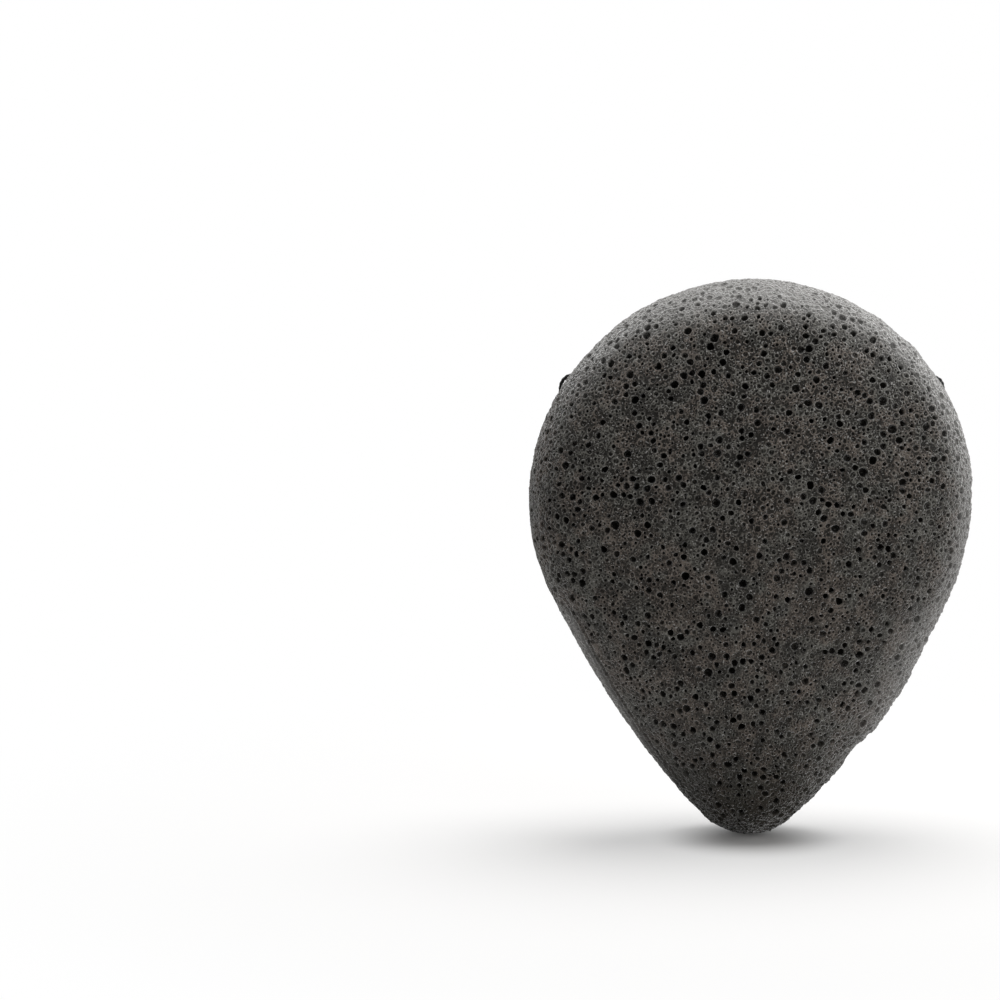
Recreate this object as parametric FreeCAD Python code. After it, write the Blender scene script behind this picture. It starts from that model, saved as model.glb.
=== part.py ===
"""A drop-shaped konjac foam sponge, standing on its tip, with its thin hanging cord.

The foam body is lofted through level sections. Its outline from the front, its front depth and
its back depth are each three arcs that run into one another: a top arc, a long side arc and a tip
arc. One cord goes through the body from side to side and hangs behind it in a loop, with its two
ends tied in a knot. Millimetres, +Z up, the front faces -Y, and the foot lies on Z = 0.
"""
import FreeCAD
import Part
import math
import os

V = FreeCAD.Vector

# Outline of the foam body, seen from the front
SPONGE_WIDTH = 91.0
SPONGE_HEIGHT = 114.0
OUTLINE_TIP_RADIUS = 13.0
OUTLINE_FLANK_RADIUS = 170.0
FOOT_CUT = 0.5
CROWN_CUT = 0.1

# Depth of the foam body before and behind its widest outline, seen from the side
FRONT_DEPTH = 19.0
BACK_DEPTH = 19.0
FRONT_BROW_RADIUS = 14.0
BACK_BROW_RADIUS = 12.0
SIDE_TIP_RADIUS = 11.0

# Corner radius of a level section, as a share of that section's own depth
FRONT_EDGE_ROUNDNESS = 0.66
BACK_EDGE_ROUNDNESS = 0.72
SECTION_STEPS = 24

# Hanging cord and the needle tunnel that it runs in
CORD_DIAMETER = 0.8
TUNNEL_CLEARANCE = 0.08
TUNNEL_BACK_OFFSET = 7.5
TUNNEL_DROP = 20.4
BEND_SHARE = 0.45

# Knot that joins the two ends of the cord, and its place behind and below the tunnel
KNOT_LENGTH = 3.6
KNOT_DIAMETER = 3.4
KNOT_BACK_OFFSET = 11.6
KNOT_DROP = 59.0
KNOT_LIP = 0.25
STRAND_GAP = 0.1
STRAND_LEAD = 3.4
TAIL_LEAD = 2.2

# Routes of the cord from each mouth of the tunnel to the knot: across, back and up from the tunnel's middle
LEFT_ROUTE = [
    (-34.2, 0.0, 0.0), (-35.9, 0.0, 0.0), (-37.6, 0.4, -0.86), (-38.6, 1.1, -2.35), (-38.4, 2.6, -5.3),
    (-36.9, 5.3, -10.5), (-30.8, 8.0, -20.9), (-20.2, 10.4, -33.4), (-10.6, 11.4, -45.0), (-3.9, 11.6, -51.2)]
RIGHT_ROUTE = [
    (34.6, 0.0, 0.0), (36.9, 0.0, 0.0), (38.9, 0.47, -1.0), (40.0, 1.27, -2.72), (39.7, 2.8, -6.0),
    (37.9, 5.4, -11.4), (31.5, 8.1, -21.6), (21.0, 10.4, -34.2), (10.0, 11.5, -45.6), (3.6, 11.6, -51.6)]

# Routes of the two cut ends, from the knot's lower face: across, back and up from its middle
LEFT_TAIL_ROUTE = [(-1.2, -0.3, -4.2), (-1.6, -0.5, -6.0)]
RIGHT_TAIL_ROUTE = [(1.6, 0.4, -4.5), (2.9, 0.6, -6.4)]


class ThreeArcs:
    """Half of an upright egg: a top arc and a tip arc on the Z axis, and a side arc touching both."""

    def __init__(self, top_radius, tip_radius, side_radius):
        self.top_radius = top_radius
        self.tip_radius = tip_radius
        self.side_radius = side_radius
        self.top_centre = SPONGE_HEIGHT + CROWN_CUT - top_radius
        self.tip_centre = tip_radius - FOOT_CUT
        reach_top = side_radius - top_radius
        reach_tip = side_radius - tip_radius
        span = self.top_centre - self.tip_centre
        rise = (reach_tip ** 2 - reach_top ** 2 + span ** 2) / (2 * span)
        self.side_height = self.tip_centre + rise
        self.side_offset = -math.sqrt(reach_tip ** 2 - rise ** 2)
        self.top_joint = self.top_centre + top_radius * (self.top_centre - self.side_height) / reach_top
        self.tip_joint = self.tip_centre + tip_radius * (self.tip_centre - self.side_height) / reach_tip

    def at(self, height):
        """Distance of the outline from the Z axis at this height."""
        if height > self.top_joint:
            return half_chord(self.top_radius, height - self.top_centre)
        if height < self.tip_joint:
            return half_chord(self.tip_radius, height - self.tip_centre)
        return self.side_offset + half_chord(self.side_radius, height - self.side_height)


def half_chord(radius, offset):
    """Half of the chord that a circle leaves on a line at this offset from its centre."""
    return math.sqrt(max(radius ** 2 - offset ** 2, 0.0))


def side_radius_for(depth, top_radius):
    """Radius of the side arc that touches the top arc and the tip arc and bulges just to this depth."""
    span = SPONGE_HEIGHT + CROWN_CUT + FOOT_CUT - top_radius - SIDE_TIP_RADIUS
    top_gap = depth - top_radius
    tip_gap = depth - SIDE_TIP_RADIUS
    product = top_gap * tip_gap
    rest = span ** 2 - top_gap ** 2 - tip_gap ** 2
    slope = 2 * (top_gap + tip_gap) * (rest + 2 * product)
    level = rest ** 2 - 4 * product ** 2
    root = math.sqrt(slope ** 2 - 4 * (top_gap - tip_gap) ** 2 * level)
    return depth + level / (slope + root)


OUTLINE = ThreeArcs(SPONGE_WIDTH / 2, OUTLINE_TIP_RADIUS, OUTLINE_FLANK_RADIUS)
FRONT = ThreeArcs(FRONT_BROW_RADIUS, SIDE_TIP_RADIUS, side_radius_for(FRONT_DEPTH, FRONT_BROW_RADIUS))
BACK = ThreeArcs(BACK_BROW_RADIUS, SIDE_TIP_RADIUS, side_radius_for(BACK_DEPTH, BACK_BROW_RADIUS))


def arc(start, middle, end):
    return Part.Arc(start, middle, end).toShape()


def half_section(width, depth, roundness, side, height):
    """Corner arc, crown arc and corner arc from -width to +width, on the front or the back side."""
    corner = roundness * depth
    inner = width - corner
    crown = (inner ** 2 + depth ** 2 - corner ** 2) / (2 * (depth - corner))
    tilt = math.asin(inner / (crown - corner))
    mid_turn = (tilt + math.pi / 2) / 2

    def corner_point(hand):
        return V(hand * (inner + corner * math.sin(mid_turn)), side * corner * math.cos(mid_turn), height)

    def joint_point(hand):
        return V(hand * crown * math.sin(tilt), side * (depth - crown + crown * math.cos(tilt)), height)

    left = arc(V(-width, 0, height), corner_point(-1), joint_point(-1))
    middle = arc(joint_point(-1), V(0, side * depth, height), joint_point(1))
    right = arc(joint_point(1), corner_point(1), V(width, 0, height))
    return [left, middle, right]


def level_section(height):
    """Closed section of the foam body at this height."""
    width = OUTLINE.at(height)
    front = half_section(width, FRONT.at(height), FRONT_EDGE_ROUNDNESS, -1, height)
    back = half_section(width, BACK.at(height), BACK_EDGE_ROUNDNESS, 1, height)
    return Part.Wire(front + back[::-1])


def section_heights():
    """Heights from the foot to the crown, at even turns of a circle as tall as the uncut drop."""
    half = (SPONGE_HEIGHT + CROWN_CUT + FOOT_CUT) / 2
    first = math.acos(1 - FOOT_CUT / half)
    last = math.pi - math.acos(1 - CROWN_CUT / half)
    turns = [first + (last - first) * step / SECTION_STEPS for step in range(SECTION_STEPS + 1)]
    return [half * (1 - math.cos(turn)) - FOOT_CUT for turn in turns]


def tunnel_middle():
    return V(0, TUNNEL_BACK_OFFSET, SPONGE_HEIGHT - TUNNEL_DROP)


def sponge_body():
    """Drop lofted from its flat foot to its crown, with the cord's tunnel through it."""
    drop = Part.makeLoft([level_section(height) for height in section_heights()], True, False)
    bore = CORD_DIAMETER / 2 + TUNNEL_CLEARANCE
    start = tunnel_middle() - V(SPONGE_WIDTH / 2, 0, 0)
    tunnel = Part.makeCylinder(bore, SPONGE_WIDTH, start, V(1, 0, 0))
    return drop.cut(tunnel).Solids[0]


def bend(before, corner, after):
    """Two touching points and the middle of the largest arc that the runs beside a corner allow."""
    back = (before - corner).normalize()
    on = (after - corner).normalize()
    half_turn = (math.pi - back.getAngle(on)) / 2
    cut = BEND_SHARE * min((before - corner).Length, (after - corner).Length)
    radius = cut / math.tan(half_turn)
    inward = (back + on).normalize()
    apex = corner + inward * (radius / math.cos(half_turn) - radius)
    return corner + back * cut, apex, corner + on * cut, radius


def cord_tube(name, points):
    """Round cord along straight runs joined by arcs, with its bends and volume printed."""
    edges = []
    radii = []
    start = points[0]
    for before, corner, after in zip(points, points[1:], points[2:]):
        enter, apex, leave, radius = bend(before, corner, after)
        edges += [Part.LineSegment(start, enter).toShape(), arc(enter, apex, leave)]
        radii.append(radius)
        start = leave
    edges.append(Part.LineSegment(start, points[-1]).toShape())
    path = Part.Wire(edges)
    ring = Part.Wire(Part.Circle(points[0], points[1] - points[0], CORD_DIAMETER / 2).toShape())
    tube = path.makePipeShell([ring], True, False)
    plain = math.pi / 4 * CORD_DIAMETER ** 2 * path.Length
    bends = ", ".join(f"{radius:.1f}" for radius in radii)
    print(f"{name}: length {path.Length:.2f}, volume over plain {tube.Volume / plain:.4f}, bends {bends}")
    return tube


def strand_end(hand):
    """Where a strand enters the knot's upper face, on the left for -1 and the right for 1."""
    return V(hand * (CORD_DIAMETER + STRAND_GAP) / 2, 0, 0)


def knot_top():
    return tunnel_middle() + V(0, KNOT_BACK_OFFSET, -KNOT_DROP)


def strand(name, route, hand):
    entry = knot_top() + strand_end(hand)
    points = [tunnel_middle() + V(*point) for point in route]
    return cord_tube(name, points + [entry + V(0, 0, STRAND_LEAD), entry])


def tail(name, route, hand):
    middle = knot_top() - V(0, 0, KNOT_LENGTH)
    start = middle + strand_end(hand)
    points = [middle + V(*point) for point in route]
    return cord_tube(name, [start, start - V(0, 0, TAIL_LEAD)] + points)


def threaded_cord():
    """Straight stretch of the cord inside the tunnel, from one strand to the other."""
    left = LEFT_ROUTE[0][0]
    right = RIGHT_ROUTE[0][0]
    return Part.makeCylinder(CORD_DIAMETER / 2, right - left, tunnel_middle() + V(left, 0, 0), V(1, 0, 0))


def loop_knot():
    """Barrel of the tied knot, turned about an upright axis, with flat ends that the cord leaves from."""
    end = (2 * CORD_DIAMETER + STRAND_GAP) / 2 + KNOT_LIP
    upper = V(end, 0, 0)
    lower = V(end, 0, -KNOT_LENGTH)
    side = arc(upper, V(KNOT_DIAMETER / 2, 0, -KNOT_LENGTH / 2), lower)
    foot = Part.LineSegment(lower, V(0, 0, -KNOT_LENGTH)).toShape()
    spine = Part.LineSegment(V(0, 0, -KNOT_LENGTH), V(0, 0, 0)).toShape()
    head = Part.LineSegment(V(0, 0, 0), upper).toShape()
    half = Part.Face(Part.Wire([side, foot, spine, head]))
    barrel = half.revolve(V(0, 0, 0), V(0, 0, 1), 360)
    barrel.translate(knot_top())
    return barrel


def main():
    os.makedirs("parts", exist_ok=True)
    shapes = {
        "sponge_body": sponge_body(),
        "threaded_cord": threaded_cord(),
        "left_strand": strand("left_strand", LEFT_ROUTE, -1),
        "right_strand": strand("right_strand", RIGHT_ROUTE, 1),
        "loop_knot": loop_knot(),
        "left_tail": tail("left_tail", LEFT_TAIL_ROUTE, -1),
        "right_tail": tail("right_tail", RIGHT_TAIL_ROUTE, 1),
    }
    for name, shape in shapes.items():
        print(f"{name}: valid {shape.isValid()}, solids {len(shape.Solids)}, volume {shape.Volume:.2f}")
        shape.exportStep(f"parts/{name}.step")
    return shapes


SHAPES = main()
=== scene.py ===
# %% [markdown]
# A konjac sponge is a moulded drop of plant-fibre foam that stands on its tip.
# A thin twisted cord goes through it near the top and hangs behind it in a knotted loop.
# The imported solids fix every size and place; this lesson dresses them: first the camera and the
# cord, then the foam with its open pores, then the finishes and the studio.
# Shapes and patterns are measured in millimetres, and places in the studio in metres.

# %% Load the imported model
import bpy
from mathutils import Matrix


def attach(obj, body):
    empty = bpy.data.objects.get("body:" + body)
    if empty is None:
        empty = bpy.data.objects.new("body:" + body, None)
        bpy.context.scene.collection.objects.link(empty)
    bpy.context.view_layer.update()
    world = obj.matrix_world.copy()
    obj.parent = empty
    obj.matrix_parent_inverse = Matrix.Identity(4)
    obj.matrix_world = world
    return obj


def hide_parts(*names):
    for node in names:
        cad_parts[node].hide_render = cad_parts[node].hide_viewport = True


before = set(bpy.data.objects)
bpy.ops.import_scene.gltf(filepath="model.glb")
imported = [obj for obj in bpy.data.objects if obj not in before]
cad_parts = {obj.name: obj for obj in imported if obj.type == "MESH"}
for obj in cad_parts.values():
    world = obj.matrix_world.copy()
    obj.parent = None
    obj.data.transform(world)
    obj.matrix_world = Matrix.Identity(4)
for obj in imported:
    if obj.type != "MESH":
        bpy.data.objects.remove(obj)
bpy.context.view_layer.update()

import itertools
import math
import bpy
import numpy as np
from mathutils import Euler, Vector

MM = 0.001

# %% [markdown]
# The camera stands a little to the left of the sponge and looks slightly down on it, through a long
# lens that keeps the drop's sides true. It isn't shifted: it is turned until the middle of the sponge
# falls on the pixel where the photograph has it, so the rest of the frame stays empty.

# %% Camera
IMAGE_SIDE = 1000
FOCAL_PIXELS = 4000
SENSOR_WIDTH = 36.0
CAMERA_DISTANCE = 0.823
CAMERA_AZIMUTH = -4.0
CAMERA_ELEVATION = 8.0
SPONGE_MIDDLE = Vector((0, 0, 0.057))
SPONGE_MIDDLE_PIXEL = (750.5, 558)


def turned_to(place, target, pixel):
    """Rotation of an upright camera that puts target on pixel.

    The ray through the pixel has a sideways, an upward and a forward share. The sideways share
    fixes the pan, and the angle between the upward and the forward share fixes the tilt.
    """
    ray = Vector((pixel[0] - IMAGE_SIDE / 2, IMAGE_SIDE / 2 - pixel[1], FOCAL_PIXELS)).normalized()
    line = (target - place).normalized()
    level = math.hypot(line.x, line.y)
    pan = math.atan2(line.x, line.y) - math.asin(ray.x / level)
    tilt = math.atan2(line.z, math.sqrt(level ** 2 - ray.x ** 2)) - math.atan2(ray.y, ray.z)
    return Euler((math.pi / 2 + tilt, 0, -pan)).to_quaternion()


def around(middle, distance, azimuth, elevation):
    """Place at this distance from middle; azimuth 0 is in front of it, and positive to the right."""
    turn, rise = math.radians(azimuth), math.radians(elevation)
    return middle + distance * Vector(
        (math.sin(turn) * math.cos(rise), -math.cos(turn) * math.cos(rise), math.sin(rise)))


camera = bpy.data.objects.new("camera", bpy.data.cameras.new("camera"))
camera.data.sensor_width = SENSOR_WIDTH
camera.data.lens = SENSOR_WIDTH * FOCAL_PIXELS / IMAGE_SIDE
camera.location = around(SPONGE_MIDDLE, CAMERA_DISTANCE, CAMERA_AZIMUTH, CAMERA_ELEVATION)
camera.rotation_mode = "QUATERNION"
camera.rotation_quaternion = turned_to(camera.location, SPONGE_MIDDLE, SPONGE_MIDDLE_PIXEL)
bpy.context.collection.objects.link(camera)
bpy.context.scene.camera = camera
bpy.context.scene.view_settings.view_transform = "Standard"
print("lens", camera.data.lens, "place", [round(c, 3) for c in camera.location])

# %% [markdown]
# Every new piece is a grid of points worked out with numpy and handed to Blender as whole arrays.
# A grid can be closed around itself, as a tube is, and then its last column joins its first.

# %% Grids and meshes


def grid_quads(index, closed=False):
    """Quads between the neighbouring rows and columns of a grid of point numbers."""
    right = np.roll(index, -1, axis=1)
    quads = np.stack([index[:-1], right[:-1], right[1:], index[1:]], axis=-1)
    return (quads if closed else quads[:, :-1]).reshape(-1, 4)


def mesh_piece(name, points, quads):
    """Smooth mesh object from points in millimetres and an array of quads."""
    mesh = bpy.data.meshes.new(name)
    mesh.vertices.add(len(points))
    mesh.vertices.foreach_set("co", (points * MM).astype(np.float32).ravel())
    mesh.loops.add(quads.size)
    mesh.loops.foreach_set("vertex_index", quads.astype(np.int32).ravel())
    mesh.polygons.add(len(quads))
    mesh.polygons.foreach_set("loop_start", np.arange(0, quads.size, 4, dtype=np.int32))
    mesh.update(calc_edges=True)
    mesh.shade_smooth()
    piece = bpy.data.objects.new(name, mesh)
    bpy.context.collection.objects.link(piece)
    print(name, len(points), "points", len(quads), "quads")
    return piece


def unit(vectors):
    """The same directions, each with a length of one."""
    return vectors / np.linalg.norm(vectors, axis=-1, keepdims=True)


# %% [markdown]
# The cord comes out of the foam at both sides and hangs down behind it. Its route repeats the control
# points of the solids, measured from the middle of the tunnel. A tube with rounded corners looks like
# bent wire, so a smooth NURBS spline is drawn along the points, and its line is read at even steps.

# %% Line of the cord
TUNNEL_MIDDLE = np.array([0.0, 7.5, 93.6])
KNOT_TOP = np.array([0.0, 19.1, 34.6])
STRAND_SPREAD = 0.566
STRAND_LEAD = 3.4
LEFT_ROUTE = [
    (-34.2, 0.0, 0.0), (-35.9, 0.0, 0.5), (-37.7, 0.2, 0.2), (-39.0, 0.9, -1.6), (-38.7, 2.6, -5.3),
    (-36.9, 5.3, -10.5), (-30.8, 8.0, -20.9), (-20.2, 10.4, -33.4), (-10.6, 11.4, -45.0),
    (-3.9, 11.6, -51.2)]
RIGHT_ROUTE = [
    (34.6, 0.0, 0.0), (36.9, 0.0, 0.2), (39.2, 0.3, -0.3), (40.2, 1.0, -2.0), (39.9, 2.8, -6.0),
    (37.9, 5.4, -11.4), (31.5, 8.1, -21.6), (21.0, 10.4, -34.2), (10.0, 11.5, -45.6),
    (3.6, 11.6, -51.6)]
SPLINE_ORDER = 3
SPLINE_DIVISIONS = 32
PATH_STEP = 0.12


def step_lengths(line):
    """Length of each step from one point of a line to the next."""
    return np.linalg.norm(np.diff(line, axis=0), axis=1)


def line_length(line):
    """Length of the whole line."""
    return step_lengths(line).sum()


def travelled_along(line):
    """Length of the line from its start to each of its points."""
    return np.append(0, np.cumsum(step_lengths(line)))


def spline_line(route):
    """Points at even steps along the smooth spline that has the route as its control points."""
    curve = bpy.data.curves.new("route", "CURVE")
    curve.dimensions = "3D"
    curve.resolution_u = SPLINE_DIVISIONS
    spline = curve.splines.new("NURBS")
    spline.points.add(len(route) - 1)
    spline.points.foreach_set("co", np.column_stack([route, np.ones(len(route))]).ravel())
    spline.order_u = SPLINE_ORDER
    spline.use_endpoint_u = True
    holder = bpy.data.objects.new("route", curve)
    mesh = bpy.data.meshes.new_from_object(holder)
    read = np.empty(3 * len(mesh.vertices))
    mesh.vertices.foreach_get("co", read)
    read = read.reshape(-1, 3)
    bpy.data.objects.remove(holder)
    bpy.data.curves.remove(curve)
    bpy.data.meshes.remove(mesh)
    travelled = travelled_along(read)
    steps = np.linspace(0, travelled[-1], int(travelled[-1] / PATH_STEP) + 1)
    return np.column_stack([np.interp(steps, travelled, axis) for axis in read.T])


def strand_route(route, hand):
    """Control points of one free strand, from the tunnel's mouth and straight down into the knot."""
    entry = KNOT_TOP + [hand * STRAND_SPREAD, 0, 0]
    return np.vstack([TUNNEL_MIDDLE + np.array(route), entry + [0, 0, STRAND_LEAD], entry])


left_line = spline_line(strand_route(LEFT_ROUTE, -1))
right_line = spline_line(strand_route(RIGHT_ROUTE, 1))
tunnel_line = spline_line([left_line[0], TUNNEL_MIDDLE, right_line[0]])
print("strands", round(line_length(left_line), 2), round(line_length(right_line), 2), "mm")

# %% [markdown]
# Cotton string is three plies twisted together. One tube with a picture of a twist looks flat from
# near by, so each ply is a thin tube of its own that winds round the line and catches the light at
# every angle. At a cut end the plies spread, grow thin and lose some of their twist.

# %% Plies around a line
PLY_COUNT = 3
PLY_RADIUS = 0.215
PLY_REACH = 0.195
PLY_PITCH = 3.0
PLY_SIDES = 10
END_RADIUS = 0.02
FRAY_LENGTH = 1.2
FRAY_CURVE = 1.5
FRAY_UNTWIST = 0.3
FRAY_SPREAD = 2.2
FRAY_THINNING = 0.45


def ply_grid(line, ply, loose):
    """One ply of a twisted cord, drawn in nearly to a point at both ends.

    The middle of the ply circles the line at the reach, once in every pitch. Its wall is a circle
    about that middle, in the plane across the line. Over the last stretch, the fray, the reach grows
    and the wall thins by the share loose, so that a cut end comes open.
    """
    along = np.gradient(line, axis=0)
    side = unit(np.cross(along, [0.0, 1.0, 0.0]))
    front = unit(np.cross(side, along))
    travelled = travelled_along(line)
    opening = loose * np.clip(1 - (travelled[-1] - travelled) / FRAY_LENGTH, 0, 1) ** FRAY_CURVE
    turn = 2 * np.pi * (travelled / PLY_PITCH * (1 - FRAY_UNTWIST * opening) + ply / PLY_COUNT)
    reach = PLY_REACH * (1 + FRAY_SPREAD * opening)
    middle = line + reach[:, None] * (np.cos(turn)[:, None] * side + np.sin(turn)[:, None] * front)
    wall = PLY_RADIUS * (1 - FRAY_THINNING * opening)
    wall[[0, -1]] = END_RADIUS
    angle = np.linspace(0, 2 * np.pi, PLY_SIDES, endpoint=False)
    ring = np.cos(angle)[:, None] * side[:, None] + np.sin(angle)[:, None] * front[:, None]
    return middle[:, None] + wall[:, None, None] * ring


def twisted_cord(name, lines, loose=0.0):
    """Mesh of all the plies along one or more lines."""
    grids = [ply_grid(line, ply, loose) for line in lines for ply in range(PLY_COUNT)]
    starts = np.append(0, np.cumsum([grid[..., 0].size for grid in grids]))
    points = np.vstack([grid.reshape(-1, 3) for grid in grids])
    quads = np.vstack([
        grid_quads(start + np.arange(grid[..., 0].size).reshape(grid.shape[:2]), closed=True)[:, ::-1]
        for start, grid in zip(starts, grids)])
    return mesh_piece(name, points, quads)


left_cord = twisted_cord("left_strand_plies", [left_line])
right_cord = twisted_cord("right_strand_plies", [right_line])
tunnel_cord = twisted_cord("threaded_plies", [tunnel_line])

# %% [markdown]
# The two ends are tied together: both run down through the knot's heart, turn up again, wind round
# it side by side and leave downwards through the heart. Drawn tight this is the small barrel that
# the solid stands for. A loop works out the winding; the spline smooths it.

# %% Knot and tails
KNOT_LENGTH = 3.6
HEART_HEIGHTS = (1.8, 0.3, -0.9)
WIND_TURNS = 1.25
WIND_STEPS = 10
WIND_RADIUS = 1.44
WIND_RISE = 2.0
TAIL_ROUTES = {
    "left_tail": [(-1.0, -0.2, -4.2), (-1.6, -0.5, -6.0)],
    "right_tail": [(1.5, 0.4, -4.5), (2.9, 0.6, -6.4)],
}
TAIL_LEAD = 2.2


def knot_route(hand):
    """Control points of one end through the knot: down its heart, round it, and down its heart again.

    The left end starts half a turn further round than the right one, so that they lie side by side.
    """
    first = 0.0 if hand > 0 else math.pi
    last = first + 2 * math.pi * WIND_TURNS
    turns = [(STRAND_SPREAD, first, up) for up in HEART_HEIGHTS]
    for step in range(WIND_STEPS + 1):
        share = step / WIND_STEPS
        turns.append((WIND_RADIUS, first + (last - first) * share, WIND_RISE * (share - 0.5)))
    turns += [(STRAND_SPREAD, last, -up) for up in reversed(HEART_HEIGHTS)]
    reach, angle, up = np.array(turns).T
    middle = KNOT_TOP - [0, 0, KNOT_LENGTH / 2]
    return middle + np.column_stack([reach * np.cos(angle), reach * np.sin(angle), up])


def tail_line(name, knot_line):
    """Line of one cut end, straight down out of the knot and then along its own route."""
    foot = KNOT_TOP - [0, 0, KNOT_LENGTH]
    start = knot_line[-1]
    return spline_line(np.vstack([start, start - [0, 0, TAIL_LEAD], foot + np.array(TAIL_ROUTES[name])]))


knot_lines = [spline_line(knot_route(hand)) for hand in (-1, 1)]
knot = twisted_cord("overhand_knot", knot_lines)
tails = [
    twisted_cord(name + "_plies", [tail_line(name, knot_line)], loose=1.0)
    for name, knot_line in zip(TAIL_ROUTES, knot_lines)]

# %% [markdown]
# The foam drop repeats the three-arc outlines of the solid. A square grid is bent into a disc, the
# disc is stretched to the drop's outline, and each point is pushed out to the depth of the level
# section at its height. Front and back are two such grids that share their rim. This has no pole in
# the middle of the face, where every eye goes, and the points are evenly spaced for the pores.

# %% Arcs of the drop
SPONGE_WIDTH = 91.0
SPONGE_HEIGHT = 114.0
OUTLINE_TIP_RADIUS = 13.0
OUTLINE_FLANK_RADIUS = 170.0
FOOT_CUT = 0.5
SIDE_TIP_RADIUS = 11.0
SIDE_DEPTH = 19.0
NEVER_ZERO = 1e-9


def half_chord(radius, offset):
    """Half of the chord of a circle at this offset from its middle."""
    return np.sqrt(np.maximum(radius ** 2 - offset ** 2, 0))


def three_arcs(height, top_radius, tip_radius, side_radius):
    """Half-width at each height of an upright egg: a top arc, a tip arc and a side arc touching both.

    The side arc's middle is as far from the middles of the other two as its radius is larger than
    theirs. Two arcs meet where the line through both middles goes on to the outline.
    """
    top_centre = SPONGE_HEIGHT - top_radius
    tip_centre = tip_radius - FOOT_CUT
    reach_top = side_radius - top_radius
    reach_tip = side_radius - tip_radius
    span = top_centre - tip_centre
    rise = (reach_tip ** 2 - reach_top ** 2 + span ** 2) / (2 * span)
    side_height = tip_centre + rise
    side_offset = -math.sqrt(reach_tip ** 2 - rise ** 2)
    top_joint = top_centre + top_radius * (top_centre - side_height) / reach_top
    tip_joint = tip_centre + tip_radius * (tip_centre - side_height) / reach_tip
    side = side_offset + half_chord(side_radius, height - side_height)
    top = half_chord(top_radius, height - top_centre)
    tip = half_chord(tip_radius, height - tip_centre)
    return np.where(height > top_joint, top, np.where(height < tip_joint, tip, side))


def side_radius_for(top_radius):
    """Radius of the side arc that touches the top arc and the tip arc and bulges to the side depth.

    The heights of the other two middles above and below the side arc's middle add up to the span.
    Squared twice, this is a quadratic for the radius less the depth, and its smaller root is used.
    """
    span = SPONGE_HEIGHT + FOOT_CUT - top_radius - SIDE_TIP_RADIUS
    top_gap = SIDE_DEPTH - top_radius
    tip_gap = SIDE_DEPTH - SIDE_TIP_RADIUS
    product = top_gap * tip_gap
    rest = span ** 2 - top_gap ** 2 - tip_gap ** 2
    slope = 2 * (top_gap + tip_gap) * (rest + 2 * product)
    level = rest ** 2 - 4 * product ** 2
    root = math.sqrt(slope ** 2 - 4 * (top_gap - tip_gap) ** 2 * level)
    return SIDE_DEPTH + level / (slope + root)


def outline_at(height):
    """Half-width of the drop at each height, seen from the front."""
    return three_arcs(height, SPONGE_WIDTH / 2, OUTLINE_TIP_RADIUS, OUTLINE_FLANK_RADIUS)


def depth_at(height, brow_radius):
    """Depth of the drop's front or back at each height, seen from the side."""
    return three_arcs(height, brow_radius, SIDE_TIP_RADIUS, side_radius_for(brow_radius))


def section_depth(across, width, depth, roundness):
    """Depth of a level section: a crown arc in the middle that runs into a corner arc at the edge."""
    corner = roundness * depth
    inner = width - corner
    crown = (inner ** 2 + depth ** 2 - corner ** 2) / np.maximum(2 * (depth - corner), NEVER_ZERO)
    joint = inner * crown / np.maximum(crown - corner, NEVER_ZERO)
    in_corner = half_chord(corner, np.abs(across) - inner)
    in_crown = depth - crown + half_chord(crown, across)
    return np.where(np.abs(across) > joint, in_corner, in_crown)


# %% Drop-shaped surface
FRONT_BROW_RADIUS = 14.0
BACK_BROW_RADIUS = 12.0
FRONT_EDGE_ROUNDNESS = 0.66
BACK_EDGE_ROUNDNESS = 0.72
RIM_SAMPLES = 2000
SURFACE_STEP = 0.2
BROW_ALLOWANCE = 7


def rim_share():
    """Share of the way from the middle to the rim, for even steps of length on the widest section."""
    across = SPONGE_WIDTH / 2 * np.sin(np.linspace(0, np.pi / 2, RIM_SAMPLES))
    depth = section_depth(across, SPONGE_WIDTH / 2, SIDE_DEPTH, FRONT_EDGE_ROUNDNESS)
    travelled = np.append(0, np.cumsum(np.hypot(np.diff(across), np.diff(depth))))
    return travelled, across / across[-1]


def half_surface(columns, rows, brow_radius, roundness, facing):
    """Front or back of the drop as a grid of points, its outermost points on the rim.

    A square becomes a disc when each coordinate is multiplied by the root of one minus half of the
    other one's square. On the disc, the distance from the middle is spread so that the steps along
    the surface are even, and the direction says where on the rim the point heads for.
    """
    a, b = np.meshgrid(np.linspace(-1, 1, columns), np.linspace(-1, 1, rows))
    u = a * np.sqrt(1 - b ** 2 / 2)
    v = b * np.sqrt(1 - a ** 2 / 2)
    reach = np.minimum(np.hypot(u, v), 1)
    turn = np.arctan2(v, u)
    travelled, share = rim_share()
    share = np.interp(reach * travelled[-1], travelled, share)
    middle = (SPONGE_HEIGHT - FOOT_CUT) / 2
    rim_height = middle + (SPONGE_HEIGHT + FOOT_CUT) / 2 * np.sin(turn)
    height = middle + share * (rim_height - middle)
    width = outline_at(height)
    across = np.clip(share * np.sign(np.cos(turn)) * outline_at(rim_height), -width, width)
    depth = section_depth(across, width, depth_at(height, brow_radius), roundness)
    return np.stack([across, facing * depth, height], axis=-1)


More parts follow.
